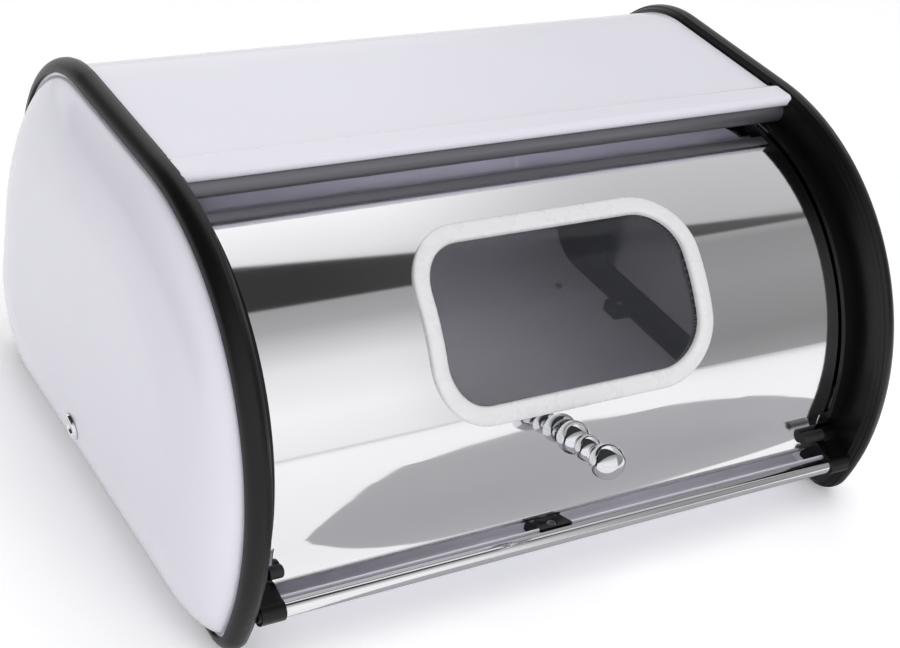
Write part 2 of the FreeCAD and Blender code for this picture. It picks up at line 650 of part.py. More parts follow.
def lid_bracket():
    """Right bracket: wraps the rail's end, fills the channel and rises beside the lid's corner."""
    rest = CORNER_HEIGHT - BRACKET_GAP
    ear_angle, rest_angle = (track_angle(height) for height in (BRACKET_TOP, rest))
    ear, foot = polar(TRACK_OUTER_R, ear_angle), polar(TRACK_OUTER_R, rest_angle)
    arm = polar(TRACK_OUTER_R, (ear_angle + rest_angle) / 2) - V(0, BRACKET_GAP / 2, 0)
    back = polar(TRACK_INNER_R, rest_angle).y
    top = RAIL_Z + UPSTAND_RISE
    base = [(foot.y, rest), (back, rest), (back, CHANNEL_Z), (UPSTAND_Y + SHEET, CHANNEL_Z),
            (UPSTAND_Y + SHEET, top), (RAIL_Y, top), (RAIL_Y - RAIL_RADIUS * 0.75, RAIL_Z + RAIL_RADIUS)]
    ahead, above = BRACKET_SHOULDER
    shoulder = prism(polygon((foot.y - ahead, rest + above), *base), BRACKET_INNER, WEB_X)
    ahead, above = BRACKET_BROW
    tip_depth, tip_bevel = BRACKET_EAR_TIP
    ear_side = [(foot.y - ahead, rest + above), (ear.y - tip_depth, ear.z - tip_bevel),
                (ear.y, ear.z), (arm.y, arm.z)]
    raised = prism(polygon(*ear_side, *base), BRACKET_EAR, WEB_X)
    wrap = prism(disc(RAIL_Y, RAIL_Z, RAIL_RADIUS + BRACKET_WRAP), BRACKET_INNER, WEB_X)
    wrap = wrap.cut(box(BRACKET_INNER - 1, WEB_X + 1, UPSTAND_Y - SHEET, UPSTAND_Y + BRACKET_REACH, 0, top))
    bracket = joined(shoulder, raised, wrap)
    bracket = bracket.cut(prism(disc(RAIL_Y, RAIL_Z, RAIL_RADIUS), BRACKET_INNER - 1, WEB_X + 1))
    bend = box(0, WIDTH, UPSTAND_Y, UPSTAND_Y + SHEET + JOGGLE_BEND, CHANNEL_Z - 1, CHANNEL_Z + JOGGLE_BEND)
    return bracket.cut(bend)


# ---------------------------------------------------------------- magnetic catch
def catch_back_y():
    return UPSTAND_Y + CATCH_DEPTH


def catch_screw_y():
    return UPSTAND_Y + CATCH_SCREW_IN


def catch_top(y):
    """Height of the housing's sloping top."""
    return RAIL_Z + CATCH_RISE - CATCH_SLOPE * (y - UPSTAND_Y)


def catch_seat_z():
    return catch_top(catch_screw_y()) - CATCH_SCREW[1] - 0.2


def magnet_block():
    size_x, size_y, size_z = MAGNET
    y1 = catch_back_y() - CATCH_WALL
    z0 = CHANNEL_Z + 1
    return box(CATCH_X - size_x / 2, CATCH_X + size_x / 2, y1 - size_y, y1, z0, z0 + size_z)


def catch_pole_plates():
    """Two steel plates beside the magnet that carry its pull up to the lid's lower edge."""
    base = magnet_block().BoundBox
    plates = []
    for x in (base.XMin - POLE, base.XMax):
        plates.append(box(x, x + POLE, base.YMin, base.YMax, base.ZMin, catch_top(base.YMax) + 0.4))
    return Part.makeCompound(plates)


def catch_housing():
    """Moulded block over the magnet, its front end lying on the back of the rail."""
    front = UPSTAND_Y - CATCH_LIP
    back = catch_back_y()
    on_rail = RAIL_Z + math.sqrt(RAIL_RADIUS ** 2 - (front - RAIL_Y) ** 2) + SEAM_GAP
    side = polygon((front, on_rail), (front, catch_top(front)), (back, catch_top(back)), (back, CHANNEL_Z),
                   (UPSTAND_Y + SHEET + JOGGLE_BEND, CHANNEL_Z),
                   (UPSTAND_Y + 0.1, CHANNEL_Z + JOGGLE_BEND + SHEET), (UPSTAND_Y + 0.1, on_rail))
    half = CATCH_WIDTH / 2
    y = catch_screw_y()
    tools = [
        Part.makeCylinder(CATCH_SCREW[2] + SCREW_GAP, 20, V(CATCH_X, y, CHANNEL_Z - 1)),
        Part.makeCylinder(CATCH_SCREW[0] + 0.3, 10, V(CATCH_X, y, catch_seat_z())),
        magnet_block(), catch_pole_plates(),
    ]
    housing = prism(side, CATCH_X - half, CATCH_X + half)
    return housing.cut(tools[0]).cut(tools[1]).cut(tools[2]).cut(tools[3])


# ---------------------------------------------------------------- screws
def pan_screw(size):
    """Pan-head screw with a cross recess; the head's underside is at the origin, shank along -Z."""
    head_r, head_h, shank_r, length = size
    head = Part.makeCylinder(head_r, head_h)
    rim = [edge for edge in head.Edges if edge.BoundBox.ZMin > head_h / 2]
    head = head.makeFillet(head_h * HEAD_ROUND, rim)
    shank = Part.makeCylinder(shank_r, length, V(0, 0, -length))
    screw = joined(head, shank)
    wide, narrow, deep = head_r * RECESS_REACH, head_r * RECESS_SLOT, head_h * RECESS_DEPTH
    for dx, dy in ((wide, narrow), (narrow, wide)):
        screw = screw.cut(Part.makeBox(2 * dx, 2 * dy, deep, V(-dx, -dy, head_h - deep)))
    return screw


def placed(shape, position, direction):
    shape.Placement = FreeCAD.Placement(position, FreeCAD.Rotation(V(0, 0, 1), direction))
    return shape


def floor_screws():
    screws = [placed(pan_screw(FLOOR_SCREW), V(side * floor_screw_x(), y, SHELL_INSET), V(0, 0, -1))
              for side in (-1, 1) for y in BOSS_ROWS]
    return Part.makeCompound(screws)


def catch_screw():
    return placed(pan_screw(CATCH_SCREW), V(CATCH_X, catch_screw_y(), catch_seat_z()), V(0, 0, 1))


# ---------------------------------------------------------------- lid
def lid_panel():
    """Arc, flared lip with a rolled edge, plain corners, window cut-out and knob hole."""
    arc_wall = ring_sector(LID_R - SHEET, LID_R, FLARE_START, LID_TOP_ANGLE, -LID_HALF, LID_HALF)
    lip = BentSheet(polar(LID_R, FLARE_START), 270 - FLARE_START)
    lip.bend(FLARE_RADIUS, -FLARE_ANGLE).bend(CURL_RADIUS, CURL_ANGLE)
    flare = prism(lip.face(-SHEET), -LIP_HALF, LIP_HALF)
    corner = ring_sector(LID_R - SHEET, LID_R, CORNER_ANGLE, FLARE_START, LIP_HALF + CORNER_SLIT, LID_HALF)
    panel = joined(arc_wall, flare, corner, mirrored(corner))
    panel = panel.cut(window_prism(BEZEL_WIDTH - BEZEL_COLLAR))
    start, outwards = knob_axis(LID_R - 5)
    return panel.cut(Part.makeCylinder(KNOB_BORE + SCREW_GAP, 10, start, outwards))


def window_prism(inset):
    """Rounded rectangle, set in from the bezel's outer edge, driven through the lid."""
    a = math.radians(WINDOW_ANGLE)
    outwards = V(0, -math.cos(a), math.sin(a))
    upwards = V(0, math.sin(a), math.cos(a))
    w, h, r = WINDOW_HALF_WIDTH - inset, WINDOW_HALF_HEIGHT - inset, WINDOW_CORNER - inset
    near = V(0, ARC_Y, ARC_Z) + outwards * (LID_R - 60)

    def at(x, s):
        return near + V(x, 0, 0) + upwards * s

    k = r * (1 - math.sqrt(0.5))
    edges = []
    for sx, sy in ((1, 1), (-1, 1), (-1, -1), (1, -1)):
        ends = [at(sx * w, sy * (h - r)), at(sx * (w - r), sy * h)]
        if sx * sy < 0:
            ends.reverse()
        edges.append(Part.Arc(ends[0], at(sx * (w - k), sy * (h - k)), ends[1]).toShape())
    edges += [line(at(-(w - r), h), at(w - r, h)), line(at(-(w - r), -h), at(w - r, -h)),
              line(at(w, -(h - r)), at(w, h - r)), line(at(-w, -(h - r)), at(-w, h - r))]
    face = Part.Face(Part.Wire(Part.__sortEdges__(edges)))
    return face.extrude(outwards * 100)


def curved_ring(inner_r, outer_r, outer_inset, inner_inset=None):
    """Piece of a curved wall inside one window outline and outside another."""
    wall = ring_sector(inner_r, outer_r, WINDOW_ANGLE - 45, WINDOW_ANGLE + 45, -WINDOW_HALF_WIDTH - 20,
                       WINDOW_HALF_WIDTH + 20)
    piece = wall.common(window_prism(outer_inset))
    return piece if inner_inset is None else piece.cut(window_prism(inner_inset))


def window_bezel():
    """White frame on the lid's face, with a collar through the cut-out."""
    flange = curved_ring(LID_R, LID_R + BEZEL_PROUD, 0, BEZEL_WIDTH)
    collar = curved_ring(LID_R - SHEET - 0.6, LID_R, BEZEL_WIDTH - BEZEL_COLLAR + WINDOW_GAP, BEZEL_WIDTH)
    return joined(flange, collar)


def pane_radius():
    return LID_R - SHEET - 0.6


def window_pane():
    inset = BEZEL_WIDTH - BEZEL_COLLAR - PANE_LAP
    return curved_ring(pane_radius() - PANE, pane_radius(), inset)


def window_retainer():
    """Ring inside the lid that clamps the pane against the bezel's collar."""
    pane_inset = BEZEL_WIDTH - BEZEL_COLLAR - PANE_LAP - WINDOW_GAP
    inner_r = pane_radius() - PANE - RETAINER
    rim = curved_ring(inner_r, LID_R - SHEET, pane_inset - RETAINER_LAP, pane_inset)
    lap = curved_ring(inner_r, inner_r + RETAINER, pane_inset, BEZEL_WIDTH)
    return joined(rim, lap)


# ---------------------------------------------------------------- knob
def knob_axis(radius):
    """Point on the knob's axis at a radius from the lid's axis, and the outward direction."""
    a = math.radians(KNOB_ANGLE)
    return polar(radius, KNOB_ANGLE, KNOB_X), V(0, -math.cos(a), math.sin(a))


def lid_knob():
    """Turned knob: bulb, middle bead and end ball, with a blind threaded bore."""
    ball_at = KNOB_LENGTH - KNOB_BALL
    parts = [
        Part.makeCylinder(*KNOB_FOOT),
        Part.makeSphere(KNOB_BULB, V(0, 0, KNOB_BULB_AT)),
        Part.makeCylinder(KNOB_NECK, ball_at),
        Part.makeSphere(KNOB_RING, V(0, 0, KNOB_RING_AT)),
        Part.makeSphere(KNOB_BALL, V(0, 0, ball_at)),
    ]
    parts += [Part.makeCylinder(radius, height, V(0, 0, start)) for radius, start, height in KNOB_COLLARS]
    solid = joined(*parts)
    solid = solid.common(Part.makeCylinder(KNOB_BALL + 1, KNOB_LENGTH + 1, V(0, 0, KNOB_SEAT_GAP)))
    solid = solid.cut(Part.makeCylinder(KNOB_BORE, KNOB_BORE_DEPTH, V(0, 0, 0)))
    start, outwards = knob_axis(LID_R)
    return placed(solid, start, outwards)


def washer_back():
    return LID_R - SHEET - WASHER[1] - WASHER_SEAT


def knob_screw():
    start, outwards = knob_axis(washer_back())
    return placed(pan_screw(KNOB_SCREW), start, outwards * -1)


def knob_washer():
    hole = Part.makeCylinder(KNOB_BORE + 4 * SCREW_GAP, WASHER[1])
    ring = Part.makeCylinder(WASHER[0], WASHER[1]).cut(hole)
    start, outwards = knob_axis(washer_back())
    return placed(ring, start, outwards)


# ---------------------------------------------------------------- glides and buffers
def lid_glide(angle):
    """Nylon shoe on the right edge of the lid, in the track."""
    half = math.degrees(GLIDE_LENGTH / 2 / LID_R)
    inner, outer = TRACK_INNER_R + GLIDE_GAP, TRACK_OUTER_R - GLIDE_GAP
    x1 = WEB_X - 0.4
    shoe = ring_sector(inner, outer, angle - half, angle + half, x1 - GLIDE_WIDTH, x1)
    slot = ring_sector(LID_R - SHEET, LID_R, angle - half - 1, angle + half + 1, x1 - GLIDE_WIDTH - 1, LID_HALF)
    return shoe.cut(slot)


def lid_buffer(x0, x1, panel):
    """Rubber buffer along the lid's lower edge, moulded to the lid's face."""
    centre = polar(LID_R + BUFFER_STANDOFF, BUFFER_ANGLE)
    roller = prism(disc(centre.y, centre.z, BUFFER_RADIUS), x0, x1)
    side = 1 if x0 > 0 else -1
    free_end = [e for e in roller.Edges if abs(e.BoundBox.Center.x - (x0 if side > 0 else x1)) < 0.01]
    roller = roller.makeFillet(BUFFER_RADIUS * 0.3, [free_end[0]])
    below = ring_sector(LID_R - 20, LID_R + 0.02, CORNER_ANGLE - 10, 20, x0 - 1, x1 + 1)
    return roller.cut(panel).cut(below)


# ---------------------------------------------------------------- the set of parts
def build():
    frame = end_frame()
    panel = side_panel()
    eyelet = vent_eyelet()
    bracket = lid_bracket()
    lid = lid_panel()
    low_angle = FLARE_START + GLIDE_OFFSETS[0]
    top_angle = LID_TOP_ANGLE + GLIDE_OFFSETS[1]
    low_glide, top_glide = lid_glide(low_angle), lid_glide(top_angle)
    return {
        "right_end_frame": frame,
        "left_end_frame": mirrored(frame),
        "right_side_panel": panel,
        "left_side_panel": mirrored(panel),
        "right_vent_eyelet": eyelet,
        "left_vent_eyelet": mirrored(eyelet),
        "body_shell": body_shell(),
        "floor_pan": floor_pan(),
        "front_rail": front_rail(),
        "channel_strip": channel_strip(),
        "front_tie_bar": front_tie_bar(),
        "right_lid_bracket": bracket,
        "left_lid_bracket": mirrored(bracket),
        "catch_housing": catch_housing(),
        "catch_magnet": magnet_block(),
        "catch_pole_plates": catch_pole_plates(),
        "catch_screw": catch_screw(),
        "floor_screws": floor_screws(),
        "floor_rivets": floor_rivets(),
        "lid_panel": lid,
        "window_bezel": window_bezel(),
        "window_pane": window_pane(),
        "window_retainer": window_retainer(),
        "lid_knob": lid_knob(),
        "knob_screw": knob_screw(),
        "knob_washer": knob_washer(),
        "right_lower_glide": low_glide,
        "left_lower_glide": mirrored(low_glide),
        "right_upper_glide": top_glide,
        "left_upper_glide": mirrored(top_glide),
        "right_lid_buffer": lid_buffer(BUFFER_OUTER - RIGHT_BUFFER_LENGTH, BUFFER_OUTER, lid),
        "left_lid_buffer": lid_buffer(-BUFFER_OUTER, -BUFFER_OUTER + LEFT_BUFFER_LENGTH, lid),
    }


os.makedirs("parts", exist_ok=True)
for node, shape in build().items():
    shape.exportStep(os.path.join("parts", node + ".step"))
    print("%-20s valid=%s solids=%d volume=%.0f" % (node, shape.isValid(), len(shape.Solids), shape.Volume))
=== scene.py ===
"""Looks of a roll-top bread box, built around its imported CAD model.  All lengths are in metres."""
import bpy
import json
import math
from mathutils import Matrix, Vector

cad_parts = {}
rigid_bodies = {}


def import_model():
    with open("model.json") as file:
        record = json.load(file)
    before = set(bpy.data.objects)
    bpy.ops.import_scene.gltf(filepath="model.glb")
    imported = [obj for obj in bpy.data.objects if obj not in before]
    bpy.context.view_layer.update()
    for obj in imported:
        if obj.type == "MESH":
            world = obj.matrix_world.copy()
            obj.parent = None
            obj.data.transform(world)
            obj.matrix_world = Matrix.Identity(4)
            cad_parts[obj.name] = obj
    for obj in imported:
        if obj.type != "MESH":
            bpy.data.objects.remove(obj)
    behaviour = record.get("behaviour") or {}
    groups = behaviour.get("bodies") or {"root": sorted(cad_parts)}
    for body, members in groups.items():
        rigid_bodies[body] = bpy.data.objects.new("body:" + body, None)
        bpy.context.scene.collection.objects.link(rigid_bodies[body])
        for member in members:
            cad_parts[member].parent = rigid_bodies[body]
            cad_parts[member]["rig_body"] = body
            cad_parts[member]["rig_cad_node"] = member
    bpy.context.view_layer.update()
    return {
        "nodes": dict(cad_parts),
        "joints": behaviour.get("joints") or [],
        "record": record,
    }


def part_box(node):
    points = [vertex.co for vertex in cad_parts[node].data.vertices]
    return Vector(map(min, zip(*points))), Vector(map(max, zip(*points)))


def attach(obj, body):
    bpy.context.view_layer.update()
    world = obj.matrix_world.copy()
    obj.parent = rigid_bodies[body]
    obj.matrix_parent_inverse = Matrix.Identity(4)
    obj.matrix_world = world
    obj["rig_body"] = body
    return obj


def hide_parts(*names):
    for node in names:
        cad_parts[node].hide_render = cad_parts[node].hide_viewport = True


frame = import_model()

MM = 0.001

# ---------------------------------------------------------------- sizes taken from the CAD model
HINGE = Vector(frame["joints"][0]["pos_m"])          # the lid's axis, the centre of its arc
LID_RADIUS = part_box("lid_panel")[1].z - HINGE.z      # outer face of the lid
KNOB_LOW, KNOB_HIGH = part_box("lid_knob")
KNOB_TILT = math.radians(11)                         # the knob's axis above the horizontal
WINDOW_TILT = math.radians(42.5)                     # middle of the window about the lid's axis
BEZEL_LOW, BEZEL_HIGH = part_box("window_bezel")

# ---------------------------------------------------------------- knob
BULB = (8.0 * MM, 5.6 * MM)                          # radius and distance from the lid
BEAD = (6.4 * MM, 17.2 * MM)
BALL = (8.4 * MM, 31.6 * MM)
KNOB_STEPS = 72

# ---------------------------------------------------------------- window moulding
BEZEL_CORNER = 31.0 * MM
BEZEL_HALF_HEIGHT = 46.4 * MM
CORNER_STEPS = 16
SIDE_CUTS = 11
STRAIGHT_SIDE = 10 * MM                              # an edge longer than this is a straight side


# ---------------------------------------------------------------- materials
def linear(code):
    """Linear colour from an sRGB hex value."""
    parts = [int(code[i:i + 2], 16) / 255 for i in (1, 3, 5)]
    return [c / 12.92 if c <= 0.04045 else ((c + 0.055) / 1.055) ** 2.4 for c in parts] + [1.0]


def add(tree, kind, values=None, links=None, **settings):
    """Add a node with its settings, socket values and incoming links."""
    new = tree.nodes.new(kind)
    for key, value in settings.items():
        setattr(new, key, value)
    for socket, value in (values or {}).items():
        new.inputs[socket].default_value = value
    for socket, source in (links or {}).items():
        tree.links.new(source, new.inputs[socket])
    return new


def surface(name, **values):
    """New material with a principled shader; returns it, its tree, the shader and object coordinates."""
    material = bpy.data.materials.new(name)
    material.use_nodes = True
    tree = material.node_tree
    tree.nodes.clear()
    shader = add(tree, "ShaderNodeBsdfPrincipled",
                 {key.replace("_", " "): value for key, value in values.items()})
    add(tree, "ShaderNodeOutputMaterial", links={"Surface": shader.outputs[0]})
    place = add(tree, "ShaderNodeTexCoord").outputs["Object"]
    return material, tree, shader, place


def powder_coat():
    """Gloss powder coat on sheet steel: a pale lavender white with a soft orange peel."""
    material, tree, shader, place = surface("gloss_powder_coat", IOR=1.5, Coat_Weight=0.35, Coat_Roughness=0.06)
    # the peel's waves are about 2 mm apart, the pigment's clouds about 60 mm
    peel = add(tree, "ShaderNodeTexNoise", {"Scale": 1 / (2.0 * MM), "Detail": 2.0}, {"Vector": place})
    cloud = add(tree, "ShaderNodeTexNoise", {"Scale": 1 / (60 * MM), "Detail": 3.0}, {"Vector": place})
    ramp = add(tree, "ShaderNodeValToRGB", links={"Fac": cloud.outputs["Fac"]})
    ramp.color_ramp.elements[0].color = linear("#dcdbe5")
    ramp.color_ramp.elements[1].color = linear("#e1e0e9")
    gloss = add(tree, "ShaderNodeMapRange", {"To Min": 0.20, "To Max": 0.30},
                {"Value": cloud.outputs["Fac"]})
    bump = add(tree, "ShaderNodeBump", {"Strength": 0.05, "Distance": 0.1 * MM},
               {"Height": peel.outputs["Fac"]})
    tree.links.new(ramp.outputs["Color"], shader.inputs["Base Color"])
    tree.links.new(gloss.outputs["Result"], shader.inputs["Roughness"])
    tree.links.new(bump.outputs["Normal"], shader.inputs["Normal"])
    return material


def moulded_black():
    """Injection-moulded black ABS: satin, with a fine spark-eroded grain."""
    material, tree, shader, place = surface("satin_black_abs", IOR=1.54, Specular_IOR_Level=0.28)
    # the grain is 0.5 mm, coarser than the real 0.1 mm so that it shows; flow marks run about 25 mm
    grain = add(tree, "ShaderNodeTexNoise", {"Scale": 1 / (0.5 * MM), "Detail": 2.0}, {"Vector": place})
    flow = add(tree, "ShaderNodeTexNoise", {"Scale": 1 / (25 * MM), "Detail": 4.0}, {"Vector": place})
    ramp = add(tree, "ShaderNodeValToRGB", links={"Fac": flow.outputs["Fac"]})
    ramp.color_ramp.elements[0].color = linear("#08080a")
    ramp.color_ramp.elements[1].color = linear("#0d0d0e")
    gloss = add(tree, "ShaderNodeMapRange", {"To Min": 0.28, "To Max": 0.38},
                {"Value": flow.outputs["Fac"]})
    bump = add(tree, "ShaderNodeBump", {"Strength": 0.25, "Distance": 0.05 * MM},
               {"Height": grain.outputs["Fac"]})
    tree.links.new(ramp.outputs["Color"], shader.inputs["Base Color"])
    tree.links.new(gloss.outputs["Result"], shader.inputs["Roughness"])
    tree.links.new(bump.outputs["Normal"], shader.inputs["Normal"])
    return material


def mirror_steel():
    """Mirror-polished stainless sheet: clean reflections with faint polishing streaks along the width."""
    material, tree, shader, place = surface("mirror_polished_stainless", Metallic=1.0)
    # streaks are about 0.6 mm wide and 80 mm long
    stretch = add(tree, "ShaderNodeMapping",
                  {"Scale": (1 / (80 * MM), 1 / (0.6 * MM), 1 / (0.6 * MM))}, {"Vector": place})
    streak = add(tree, "ShaderNodeTexNoise", {"Scale": 1.0, "Detail": 3.0},
                 {"Vector": stretch.outputs["Vector"]})
    smear = add(tree, "ShaderNodeTexNoise", {"Scale": 1 / (90 * MM), "Detail": 2.0}, {"Vector": place})
    both = add(tree, "ShaderNodeMath", links={0: streak.outputs["Fac"], 1: smear.outputs["Fac"]},
               operation="MULTIPLY")
    gloss = add(tree, "ShaderNodeMapRange", {"From Max": 0.6, "To Min": 0.03, "To Max": 0.10},
                {"Value": both.outputs[0]})
    ramp = add(tree, "ShaderNodeValToRGB", links={"Fac": smear.outputs["Fac"]})
    ramp.color_ramp.elements[0].color = linear("#e3e3e5")
    ramp.color_ramp.elements[1].color = linear("#ececed")
    wave = add(tree, "ShaderNodeBump", {"Strength": 0.06, "Distance": 0.4 * MM},
               {"Height": smear.outputs["Fac"]})
    tree.links.new(ramp.outputs["Color"], shader.inputs["Base Color"])
    tree.links.new(gloss.outputs["Result"], shader.inputs["Roughness"])
    tree.links.new(wave.outputs["Normal"], shader.inputs["Normal"])
    return material


def bright_chrome():
    """Bright chrome plate on the turned knob and the vent eyelets: sharp reflections."""
    material, tree, shader, place = surface("bright_chrome_plate", Metallic=1.0)
    # handling film in patches of about 6 mm
    film = add(tree, "ShaderNodeTexNoise", {"Scale": 1 / (6 * MM), "Detail": 3.0}, {"Vector": place})
    gloss = add(tree, "ShaderNodeMapRange", {"To Min": 0.02, "To Max": 0.07},
                {"Value": film.outputs["Fac"]})
    ramp = add(tree, "ShaderNodeValToRGB", links={"Fac": film.outputs["Fac"]})
    ramp.color_ramp.elements[0].color = linear("#d6d7da")
    ramp.color_ramp.elements[1].color = linear("#e2e3e6")
    tree.links.new(ramp.outputs["Color"], shader.inputs["Base Color"])
    tree.links.new(gloss.outputs["Result"], shader.inputs["Roughness"])
    return material


def zinc_plate():
    """Zinc-plated steel fasteners: grey, softly crystalline."""
    material, tree, shader, place = surface("zinc_plated_steel", Metallic=1.0)
    # spangle of about 0.8 mm
    spangle = add(tree, "ShaderNodeTexVoronoi", {"Scale": 1 / (0.8 * MM)}, {"Vector": place})
    ramp = add(tree, "ShaderNodeValToRGB", links={"Fac": spangle.outputs["Distance"]})
    ramp.color_ramp.elements[0].color = linear("#a9abae")
    ramp.color_ramp.elements[1].color = linear("#c6c7c9")
    gloss = add(tree, "ShaderNodeMapRange", {"To Min": 0.24, "To Max": 0.38},
                {"Value": spangle.outputs["Distance"]})
    tree.links.new(ramp.outputs["Color"], shader.inputs["Base Color"])
    tree.links.new(gloss.outputs["Result"], shader.inputs["Roughness"])
    return material


def sintered_ferrite():
    """Sintered ferrite magnet: dull charcoal with a gritty face."""
    material, tree, shader, place = surface("sintered_ferrite", Roughness=0.7)
    # grit of about 0.3 mm
    grit = add(tree, "ShaderNodeTexNoise", {"Scale": 1 / (0.3 * MM)}, {"Vector": place})
    ramp = add(tree, "ShaderNodeValToRGB", links={"Fac": grit.outputs["Fac"]})
    ramp.color_ramp.elements[0].color = linear("#303032")
    ramp.color_ramp.elements[1].color = linear("#4a4a4d")
    bump = add(tree, "ShaderNodeBump", {"Strength": 0.4, "Distance": 0.05 * MM},
               {"Height": grit.outputs["Fac"]})
    tree.links.new(ramp.outputs["Color"], shader.inputs["Base Color"])
    tree.links.new(bump.outputs["Normal"], shader.inputs["Normal"])
    return material


def gloss_white_abs():
    """Gloss white ABS moulding: cool white with a faint ripple from the mould."""
    material, tree, shader, place = surface("gloss_white_abs", IOR=1.54, Coat_Weight=0.2, Coat_Roughness=0.08)
    # mould ripple of about 9 mm
    ripple = add(tree, "ShaderNodeTexNoise", {"Scale": 1 / (9 * MM), "Detail": 2.0}, {"Vector": place})
    ramp = add(tree, "ShaderNodeValToRGB", links={"Fac": ripple.outputs["Fac"]})
    ramp.color_ramp.elements[0].color = linear("#dadadc")
    ramp.color_ramp.elements[1].color = linear("#dedee0")
    gloss = add(tree, "ShaderNodeMapRange", {"To Min": 0.22, "To Max": 0.34},
                {"Value": ripple.outputs["Fac"]})
    bump = add(tree, "ShaderNodeBump", {"Strength": 0.03, "Distance": 0.1 * MM},
               {"Height": ripple.outputs["Fac"]})
    tree.links.new(ramp.outputs["Color"], shader.inputs["Base Color"])
    tree.links.new(gloss.outputs["Result"], shader.inputs["Roughness"])
    tree.links.new(bump.outputs["Normal"], shader.inputs["Normal"])
    return material


def smoked_acrylic():
    """Smoked acrylic sheet: evenly tinted dark grey that shows the cavity, with faint wiping marks."""
    material, tree, shader, place = surface("smoked_acrylic_sheet", IOR=1.49, Alpha=0.66)
    # wiping marks run along the sheet, about 70 mm long and 5 mm wide
    wipe = add(tree, "ShaderNodeMapping", {"Scale": (1 / (70 * MM), 1 / (5 * MM), 1 / (5 * MM))},
               {"Vector": place})
    mark = add(tree, "ShaderNodeTexNoise", {"Scale": 1.0, "Detail": 2.0},
               {"Vector": wipe.outputs["Vector"]})
    ramp = add(tree, "ShaderNodeValToRGB", links={"Fac": mark.outputs["Fac"]})
    ramp.color_ramp.elements[0].color = linear("#26272b")
    ramp.color_ramp.elements[1].color = linear("#2e2f34")
    gloss = add(tree, "ShaderNodeMapRange", {"To Min": 0.04, "To Max": 0.09},
                {"Value": mark.outputs["Fac"]})
    tree.links.new(ramp.outputs["Color"], shader.inputs["Base Color"])
    tree.links.new(gloss.outputs["Result"], shader.inputs["Roughness"])
    return material


def natural_nylon():
    """Natural nylon shoes: waxy off-white."""
    material, tree, shader, place = surface("natural_nylon", IOR=1.53, Roughness=0.45)
    # cloudiness of about 4 mm
    cloud = add(tree, "ShaderNodeTexNoise", {"Scale": 1 / (4 * MM)}, {"Vector": place})
    ramp = add(tree, "ShaderNodeValToRGB", links={"Fac": cloud.outputs["Fac"]})
    ramp.color_ramp.elements[0].color = linear("#d8d4c8")
    ramp.color_ramp.elements[1].color = linear("#e6e3d8")
    tree.links.new(ramp.outputs["Color"], shader.inputs["Base Color"])
    return material


def moulded_rubber():
    """Moulded nitrile rubber: soft black with a dusty bloom."""
    material, tree, shader, place = surface("moulded_nitrile_rubber", IOR=1.52)
    # bloom in patches of about 3 mm
    bloom = add(tree, "ShaderNodeTexNoise", {"Scale": 1 / (3 * MM), "Detail": 3.0}, {"Vector": place})
    ramp = add(tree, "ShaderNodeValToRGB", links={"Fac": bloom.outputs["Fac"]})
    ramp.color_ramp.elements[0].color = linear("#161617")
    ramp.color_ramp.elements[1].color = linear("#232324")
    gloss = add(tree, "ShaderNodeMapRange", {"To Min": 0.5, "To Max": 0.68},
                {"Value": bloom.outputs["Fac"]})
    tree.links.new(ramp.outputs["Color"], shader.inputs["Base Color"])
    tree.links.new(gloss.outputs["Result"], shader.inputs["Roughness"])
    return material


def grey_pvc():
    """Extruded grey PVC strip: satin, with fine die lines along its length."""
    material, tree, shader, place = surface("extruded_grey_pvc", IOR=1.52, Roughness=0.4)
    # die lines about 0.7 mm apart across the strip
    lines = add(tree, "ShaderNodeMapping", {"Scale": (1 / (300 * MM), 1 / (0.7 * MM), 1 / (0.7 * MM))},
                {"Vector": place})
    streak = add(tree, "ShaderNodeTexNoise", {"Scale": 1.0, "Detail": 2.0},
                 {"Vector": lines.outputs["Vector"]})
    ramp = add(tree, "ShaderNodeValToRGB", links={"Fac": streak.outputs["Fac"]})
    ramp.color_ramp.elements[0].color = linear("#a3a1a9")
    ramp.color_ramp.elements[1].color = linear("#b5b3bb")
    bump = add(tree, "ShaderNodeBump", {"Strength": 0.15, "Distance": 0.1 * MM},
               {"Height": streak.outputs["Fac"]})
    tree.links.new(ramp.outputs["Color"], shader.inputs["Base Color"])
    tree.links.new(bump.outputs["Normal"], shader.inputs["Normal"])
    return material


def satin_gunmetal():
    """Dark satin lacquer on the steel bar under the nose: near black, with a grey sheen where it curves."""
    material, tree, shader, place = surface("satin_gunmetal_lacquer", Metallic=0.7)
    # drawn grain along the bar, about 0.5 mm wide and 40 mm long
    grain = add(tree, "ShaderNodeMapping", {"Scale": (1 / (40 * MM), 1 / (0.5 * MM), 1 / (0.5 * MM))},
                {"Vector": place})
    streak = add(tree, "ShaderNodeTexNoise", {"Scale": 1.0, "Detail": 2.0},
                 {"Vector": grain.outputs["Vector"]})
    ramp = add(tree, "ShaderNodeValToRGB", links={"Fac": streak.outputs["Fac"]})
    ramp.color_ramp.elements[0].color = linear("#6c6b70")
    ramp.color_ramp.elements[1].color = linear("#7a797f")
    gloss = add(tree, "ShaderNodeMapRange", {"To Min": 0.34, "To Max": 0.44},
                {"Value": streak.outputs["Fac"]})
    tree.links.new(ramp.outputs["Color"], shader.inputs["Base Color"])
    tree.links.new(gloss.outputs["Result"], shader.inputs["Roughness"])
    return material


FINISHES = {
    "satin_gunmetal": satin_gunmetal(),
    "white_enamel": powder_coat(),
    "black_plastic": moulded_black(),
    "polished_steel": mirror_steel(),
    "chrome_plate": bright_chrome(),
    "plated_steel": zinc_plate(),
    "magnet": sintered_ferrite(),
    "white_plastic": gloss_white_abs(),
    "smoked_acrylic": smoked_acrylic(),
    "nylon": natural_nylon(),
    "rubber_black": moulded_rubber(),
    "grey_strip": grey_pvc(),
}

